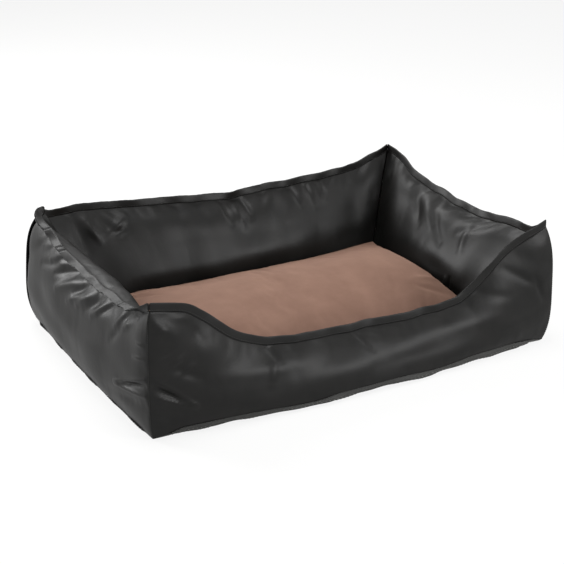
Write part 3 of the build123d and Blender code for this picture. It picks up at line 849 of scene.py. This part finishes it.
# Many small alike shapes in one piece, made in batches, because a short mesh is quicker
def repeated(name, material, places, addOne, batch=40):
    shape = bmesh.new()
    carrier = bpy.data.meshes.new("batch")
    for start in range(0, len(places), batch):
        part = bmesh.new()
        for spot in places[start:start + batch]:
            addOne(part, *spot)
        part.to_mesh(carrier)
        part.free()
        shape.from_mesh(carrier)
    bpy.data.meshes.remove(carrier)
    return newPiece(name, shape, material)


# Stitches: each one a small grain of thread, laid along its run
def addStitch(shape, at, along, across, length, radius):
    up = along.cross(across).normalized()
    turn = Matrix((along, up.cross(along), up)).transposed().to_4x4()
    size = Matrix.Diagonal((length / 2 * mm, radius * mm, radius * mm, 1))
    bmesh.ops.create_icosphere(shape, subdivisions=1, radius=1,
                               matrix=Matrix.Translation(at) @ turn @ size)


stitching = {
    "pitch": 3.6, "length": 2.6, "radius": 0.42, "aboveSeam": 1.6, "across": 1.42,
    "corner": {"count": 58, "share": 0.6, "proud": 0.1, "length": 2.4, "radius": 0.4},
    "foot": {"pitch": 4.2, "up": 0.004, "proud": 0.3, "length": 2.8, "radius": 0.4},
    "zip": {"count": 84, "out": 8.2, "ends": 4, "endPitch": 3.6, "endGap": 2.0, "proud": 0.1,
            "length": 2.4, "radius": 0.34},
}


def makeHemStitches(name):
    wall = walls[name]
    places = []
    count = int(2 * wall["half"] / stitching["pitch"])
    for index in range(count):
        share = (index + 0.5) / count * 2 - 1
        at, tangent, up, across = hemFrame(name, share)
        for side in (-1, 1):
            spot = at + up * (stitching["aboveSeam"] * mm) + across * (side * stitching["across"] * mm)
            places.append((spot, tangent, across, stitching["length"], stitching["radius"]))
    piece = repeated(f"{name}_hem_stitches", threadCloth, places, addStitch)
    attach(piece, "bed")


print("stitches")
for wallName in walls:
    makeHemStitches(wallName)


def makeCornerStitches():
    places = []
    corner, foot = stitching["corner"], stitching["foot"]
    for name in ("left", "right"):
        wall = walls[name]
        for share in (-1, 1):
            for index in range(corner["count"]):
                low = outerPoint(wall, share, index / corner["count"])
                high = outerPoint(wall, share, (index + corner["share"]) / corner["count"])
                outward = Vector((low.x, low.y, 0)).normalized()
                places.append(((low + high) / 2 + outward * corner["proud"] * mm,
                               (high - low).normalized(), outward, corner["length"], corner["radius"]))
    for wall in walls.values():
        count = int(2 * wall["half"] / foot["pitch"])
        for index in range(count):
            share = (index + 0.5) / count * 2 - 1
            at = outerPoint(wall, share, foot["up"])
            along = (outerPoint(wall, min(1, share + 0.01), foot["up"]) - at).normalized()
            outward = Vector((wall["outward"][0], wall["outward"][1], 0))
            places.append((at + outward * foot["proud"] * mm, along, outward, foot["length"],
                           foot["radius"]))
    piece = repeated("corner_and_foot_stitches", threadCloth, places, addStitch)
    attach(piece, "bed")


makeCornerStitches()

# Base: anti-slip cloth under the bed, turned up all round to the foot seam, with PVC dots
base = {
    "columnMm": 5.0, "low": 0.7, "thickness": 0.8,
    "lift": 5.0, "liftsPerMetre": 14, "puff": 6.0, "puffsPerMetre": 18,
    "dotPitch": 10.0, "dotRadius": 1.25, "dotHeight": 0.6, "dotsTo": (412, 276),
    "rimDotPitch": 8.0, "rimDotLevels": (4.2, 9.0), "rimDotShare": 0.8, "seam": 14.6,
    "profile": [(1.4, 14.6), (1.0, 12.5), (0.8, 9.5), (1.2, 6.0), (2.6, 2.6), (5.5, 0.6),
                (12.0, 0.0), (26.0, 0.0)],
}
sideOrder = ("front", "right", "rear", "left")
sideLengths = [2 * walls[name]["half"] for name in sideOrder]


def baseRim(turn):
    # A point of the foot seam in plan, its height and its outward direction, for turn 0 to 4
    wall = walls[sideOrder[int(turn) % 4]]
    share = (turn % 1) * 2 - 1
    spots = []
    for s in (share, min(1, share + 0.01), max(-1, share - 0.01)):
        spots.append(place(wall, s, section(wall, s)["lip"][0], 0))
    along = (spots[1] - spots[2]).normalized()
    return spots[0], section(wall, share)["lip"][1], Vector((along.y, -along.x, 0))


def makeBase():
    shape = bmesh.new()
    profile = base["profile"]
    turns = []
    for side, length in enumerate(sideLengths):
        count = int(length / base["columnMm"])
        turns.extend(side + k / count for k in range(count))
    columns, rows = len(turns), len(profile) - 1
    bmesh.ops.create_grid(shape, x_segments=columns, y_segments=rows, size=1)
    for vertex in shape.verts:
        column = int(round((vertex.co.x + 1) / 2 * columns)) % columns
        inset, height = profile[int(round((vertex.co.y + 1) / 2 * rows))]
        turn = turns[column]
        rim, seam, outward = baseRim(turn)
        height = height * (seam + 0.5) / base["seam"]
        corner = min(turn % 1, 1 - turn % 1) * 14
        ease = min(1, corner)
        puffs, lifts = base["puffsPerMetre"], base["liftsPerMetre"]
        puff = (0.5 + noise.noise((rim.x * puffs, rim.y * puffs, 2))) * base["puff"]
        lift = max(0, noise.noise((rim.x * lifts, rim.y * lifts, 7)) + 0.15) * base["lift"] * 2
        mid = max(0, 1 - abs(height - 6) / 9)
        spot = rim - outward * ((inset - puff * mid * ease) * mm)
        if corner < 1:
            towards = Vector((-rim.x, -rim.y, 0)).normalized()
            spot = spot * ease + (rim + towards * (inset * 1.4 * mm)) * (1 - ease)
        low = base["low"] + height + lift * ease * max(0, 1 - abs(inset - 3) / 14) * (height < 5)
        vertex.co = Vector((spot.x, spot.y, min(low, seam + 0.6) * mm))
    bmesh.ops.remove_doubles(shape, verts=shape.verts[:], dist=0.00005)
    inner = [e for e in shape.edges if e.is_boundary and e.verts[0].co.z < 0.004]
    bmesh.ops.holes_fill(shape, edges=inner, sides=0)
    bmesh.ops.triangulate(shape, faces=[f for f in shape.faces if len(f.verts) > 4])
    bmesh.ops.recalc_face_normals(shape, faces=shape.faces[:])
    shape.faces.ensure_lookup_table()
    if min(shape.faces, key=lambda f: f.calc_center_median().z).normal.z > 0:
        bmesh.ops.reverse_faces(shape, faces=shape.faces[:])
    piece = newPiece("base_cloth", shape, baseCloth)
    thicken(piece, base["thickness"])
    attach(piece, "bed")
    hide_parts("base_panel")
    return piece


def addDot(shape, at, normal, radius, height):
    turn = normal.to_track_quat("Z", "Y").to_matrix().to_4x4()
    bmesh.ops.create_cone(shape, cap_ends=True, segments=6, radius1=radius * mm,
                          radius2=radius * 0.55 * mm, depth=height * mm,
                          matrix=Matrix.Translation(at + normal * height / 2 * mm) @ turn)


def makeDots(cloth):
    places = []
    pitch = base["dotPitch"]
    farX, farY = base["dotsTo"]
    columns, rows = int(farX / pitch) + 1, int(farY / pitch) + 1
    for row in range(-rows, rows + 1):
        for column in range(-columns, columns + 1):
            x = (column + (row % 2) / 2) * pitch
            y = row * pitch
            if abs(x) < farX and abs(y) < farY:
                places.append((Vector((x, y, base["low"])) * mm, Vector((0, 0, -1)),
                               base["dotRadius"], base["dotHeight"]))
    inverse = cloth.matrix_world.inverted()
    for side, length in enumerate(sideLengths):
        count = int(length / base["rimDotPitch"])
        for index in range(1, count):
            rim, seam, outward = baseRim(side + index / count)
            for level in base["rimDotLevels"]:
                start = rim + outward * (20 * mm) + Vector((0, 0, level * mm))
                hit, spot, normal, _ = cloth.ray_cast(inverse @ start, -outward)
                if hit and normal.dot(outward) > 0.2:
                    places.append((spot, normal, base["dotRadius"] * base["rimDotShare"],
                                   base["dotHeight"]))
    piece = repeated("anti_slip_dots", dotPvcPaintedGlint, places, addDot)
    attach(piece, "bed")


print("base")
baseSheet = makeBase()
bpy.context.view_layer.update()
makeDots(baseSheet)

# Floor under the cushion: a sewn cloth over a thin layer of wadding
floorSize = {"x": 328.5, "y": 188.5, "top": 13.4, "dip": 2.4, "cloth": 0.8, "padTop": 9.4, "pad": 6.2,
             "padInset": 2.0, "padLump": 0.9}


def makeFloor():
    random = Random(41)
    gathers = makeGathers(random.randint(1, 99), -330, 330, 40, 1.6, 20, 0.2)

    def surface(along, t):
        x, y = along * floorSize["x"], (2 * t - 1) * floorSize["y"]
        edge = min(1, (1 - abs(along)) * 12, (1 - abs(2 * t - 1)) * 8)
        dip = (0.5 + 0.5 * noise.noise((x * 0.02, y * 0.02, 3))) * floorSize["dip"] * edge
        return Vector((x, y, floorSize["top"] - dip)) * mm
    size = (2 * floorSize["x"] * mm, 2 * floorSize["y"] * mm)
    piece, spots = clothGrid("floor_cloth", 110, 63, surface, (0, 0, 1), size, oxfordCloth)
    pushOut(piece, spots, lambda spot, co: -abs(gatherDepth(
        gathers, co.x / mm, (1 - abs(2 * spot[1] - 1)) * floorSize["y"])) * 0.6)
    thicken(piece, floorSize["cloth"])
    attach(piece, "bed")
    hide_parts("floor_panel")

    def padSurface(along, t):
        x = along * (floorSize["x"] - floorSize["padInset"])
        y = (2 * t - 1) * (floorSize["y"] - floorSize["padInset"])
        lump = floorSize["padLump"] * abs(noise.noise((x * 0.05, y * 0.05, 8)))
        return Vector((x, y, floorSize["padTop"] - lump)) * mm
    pad, _ = clothGrid("floor_wadding", 44, 26, padSurface, (0, 0, 1), size, wadding)
    thicken(pad, floorSize["pad"])
    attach(pad, "bed")
    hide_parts("floor_pad")


print("floor")
makeFloor()


# Cushion: strokes on the top, the window for the zip in the bottom, its stuffing and tapes
cushionStrokes = [
    (-300, 120, -250, 70, 8, -3.0), (-300, 150, -230, 130, 7, 2.4), (290, -150, 240, -110, 8, -3.0),
    (300, -100, 250, -90, 8, 2.4), (-120, 60, 60, 20, 40, 2.0), (60, -60, 200, 40, 44, 2.0),
    (-200, -40, -60, -80, 44, -2.0),
]
zipWindow = {"half": 139.6, "low": -6.0, "high": 6.0, "tapeLength": 280.0, "tapeWidth": 11.5,
             "tapeRoot": 2.8, "tapeThickness": 0.6, "tapeMiddle": -1.6}


def zipPoint(along, across, out):
    return (Vector((along, 0, 0)) + zipOrigin + zipSide * across + zipOut * out) * mm


def finishCushion():
    fineSpots = refined(cushionTop, topSpots)
    pushOut(cushionTop, fineSpots, lambda spot, co: strokeDepth(cushionStrokes, co.x / mm, co.y / mm)
            * min(1, (1 - abs(spot[0])) * 12, spot[1] * 10, (1 - spot[1]) * 10))
    thicken(cushionTop, cushion["cloth"])
    shape = bmesh.new()
    shape.from_mesh(cushionBottom.data)
    cuts = [(zipPoint(zipWindow["half"], 0, 0), Vector((1, 0, 0))),
            (zipPoint(-zipWindow["half"], 0, 0), Vector((-1, 0, 0))),
            (zipPoint(0, zipWindow["high"], 0), zipSide), (zipPoint(0, zipWindow["low"], 0), -zipSide)]

    def nearWindow(co, margin):
        off = co / mm - zipOrigin
        return (abs(co.x / mm) < zipWindow["half"] + margin
                and abs(off.dot(zipSide)) < zipWindow["high"] + margin and abs(off.dot(zipOut)) < 3)
    for spot, normal in cuts:
        faces = [f for f in shape.faces if nearWindow(f.calc_center_median(), 8)]
        parts = set(faces)
        for face in faces:
            parts.update(face.edges)
            parts.update(face.verts)
        bmesh.ops.bisect_plane(shape, geom=list(parts), dist=1e-6, plane_co=spot, plane_no=normal)
    gone = [f for f in shape.faces if nearWindow(f.calc_center_median(), -0.01)]
    bmesh.ops.delete(shape, geom=gone, context="FACES")
    shape.to_mesh(cushionBottom.data)
    shape.free()
    thicken(cushionBottom, cushion["cloth"])
    for piece, node, flat in ((cushionTop, "cushion_top_panel", (0.37, 0.65)),
                              (cushionBottom, "cushion_bottom_panel", (0.42, 0.66))):
        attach(piece, "cushion")
        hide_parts(node)


filling = {"columns": 54, "rows": 34, "inset": 4.5, "lumpMm": 2.0, "lumpsPerMetre": 25,
           "zipHalf": 150, "zipHigh": 22, "zipDepth": 9}


def makeCushionStuffing():
    shape = bmesh.new()
    for upper in (True, False):
        made = bmesh.ops.create_grid(shape, x_segments=filling["columns"], y_segments=filling["rows"],
                                     size=1)
        for vertex in made["verts"]:
            along, t = vertex.co.x, (vertex.co.y + 1) / 2
            co = cushionPoint(along, t if upper else 1 - t, upper, filling["inset"])
            off = co / mm - zipOrigin
            byZip = abs(co.x / mm) < filling["zipHalf"] and abs(off.dot(zipSide)) < filling["zipHigh"]
            if byZip and not upper:
                co = co - zipOut * ((off.dot(zipOut) + filling["zipDepth"]) * mm)
            lump = noise.noise(co * filling["lumpsPerMetre"]) * filling["lumpMm"]
            lump = lump * min(1, (1 - abs(along)) * 9, min(t, 1 - t) * 9)
            vertex.co = co - Vector((0, 0, lump * mm if upper else 0))
    bmesh.ops.remove_doubles(shape, verts=shape.verts[:], dist=0.4 * mm)
    bmesh.ops.recalc_face_normals(shape, faces=shape.faces[:])
    piece = newPiece("cushion_stuffing", shape, wadding)
    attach(piece, "cushion")
    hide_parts("cushion_fill")


def makeTape(name, side, node):
    width, root = zipWindow["tapeWidth"], zipWindow["tapeRoot"]
    top = zipWindow["tapeMiddle"] + zipWindow["tapeThickness"] / 2

    def surface(along, t):
        return zipPoint(along * zipWindow["half"], side * (root + width * t), top)
    size = (zipWindow["tapeLength"] * mm, width * mm)
    piece, _ = clothGrid(name, 140, 6, surface, zipOut, size, tapeCloth)
    thicken(piece, zipWindow["tapeThickness"])
    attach(piece, "cushion")
    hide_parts(node)


def makeCushionStitches():
    places = []
    half, run, sewn = zipWindow["half"], Vector((1, 0, 0)), stitching["zip"]
    size = (sewn["length"], sewn["radius"])
    for side in (-1, 1):
        for index in range(sewn["count"]):
            x = -half + (index + 0.5) / sewn["count"] * 2 * half
            places.append((zipPoint(x, side * sewn["out"], sewn["proud"]), run, zipSide, *size))
        for index in range(sewn["ends"]):
            across = (index - (sewn["ends"] - 1) / 2) * sewn["endPitch"]
            at = zipPoint(side * (half + sewn["endGap"]), across, sewn["proud"])
            places.append((at, zipSide, run, *size))
    piece = repeated("zip_stitches", tapeThread, places, addStitch)
    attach(piece, "cushion")


print("cushion: stuffing, zip window and tapes")
finishCushion()
makeCushionStuffing()
makeTape("zip_tape_front", -1, "zip_upper_tape")
makeTape("zip_tape_back", 1, "zip_lower_tape")
makeCushionStitches()

for node, material in (("zip_upper_teeth", toothResin), ("zip_lower_teeth", toothResin),
                       ("zip_top_stops", sliderPaint), ("zip_bottom_stop", sliderPaint),
                       ("zip_slider", sliderPaint), ("zip_pull", sliderPaint)):
    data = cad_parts[node].data
    data.materials.clear()
    data.materials.append(material)

# Studio: a pale floor, five soft lamps and an even world
studio = {
    "floor": "#f4f4f2", "floorHalf": 14, "glow": 0.85, "world": 0.3,
    "lamps": [
        {"name": "key", "place": (-1.7, 1.7, 0.9), "aim": (-0.3, 0.1, 0.1), "size": 0.9, "power": 54},
        {"name": "back", "place": (0.0, 2.2, 1.8), "aim": (0, 0, 0.1), "size": 1.1, "power": 34},
        {"name": "front", "place": (1.4, -2.2, 1.1), "aim": (0, 0, 0.1), "size": 1.3, "power": 43},
        {"name": "side", "place": (2.3, -0.2, 1.5), "aim": (0, 0, 0.1), "size": 1.1, "power": 14},
        {"name": "top", "place": (-0.2, 0.0, 2.6), "aim": (0, 0, 0.1), "size": 1.1, "power": 32},
    ],
}


def seenDirectly(tree):
    # 1 where the camera, a reflection or something clear looks at the background
    path = addNode(tree, "LightPath")
    mirrored = addNode(tree, "Math", {"operation": "MAXIMUM"}, {
        0: path.outputs["Is Glossy Ray"], 1: path.outputs["Is Transmission Ray"]})
    return addNode(tree, "Math", {"operation": "MAXIMUM"}, {
        0: path.outputs["Is Camera Ray"], 1: mirrored.outputs[0]}).outputs[0]


def makeStudio():
    shape = bmesh.new()
    bmesh.ops.create_grid(shape, x_segments=8, y_segments=8, size=studio["floorHalf"])
    # Wall paint, rolled on: matt and even
    material, tree, shader, output = newMaterial("pale_floor_paint", {
        "Base Color": linear(studio["floor"]), "Roughness": 0.9, "Specular IOR Level": 0.2})
    glow = addNode(tree, "Emission", {"Color": (1, 1, 1, 1)})
    share = addNode(tree, "Math", {"operation": "MULTIPLY", 1: studio["glow"]}, {0: seenDirectly(tree)})
    both = addNode(tree, "MixShader", links={0: share.outputs[0], 1: shader.outputs["BSDF"],
                                             2: glow.outputs["Emission"]})
    tree.links.new(both.outputs["Shader"], output.inputs["Surface"])
    floorPiece = newPiece("studio_floor", shape, material, smooth=False)
    world = bpy.data.worlds.new("studio")
    world.use_nodes = True
    scene.world = world
    tree = world.node_tree
    tree.nodes.clear()
    even = addNode(tree, "Background", {"Color": (1, 1, 1, 1), "Strength": studio["world"]})
    seenWorld = addNode(tree, "Background", {"Color": (1, 1, 1, 1), "Strength": 1.0})
    both = addNode(tree, "MixShader", links={0: seenDirectly(tree), 1: even.outputs[0],
                                             2: seenWorld.outputs[0]})
    addNode(tree, "OutputWorld", links={"Surface": both.outputs["Shader"]})
    for lamp in studio["lamps"]:
        data = bpy.data.lights.new(lamp["name"], "AREA")
        data.size = lamp["size"]
        data.energy = lamp["power"]
        light = bpy.data.objects.new(lamp["name"], data)
        light.location = lamp["place"]
        light.rotation_mode = "QUATERNION"
        aim = Vector(lamp["aim"]) - Vector(lamp["place"])
        light.rotation_quaternion = aim.to_track_quat("-Z", "Y")
        scene.collection.objects.link(light)


print("studio")
makeStudio()
scene.view_settings.view_transform = "Standard"
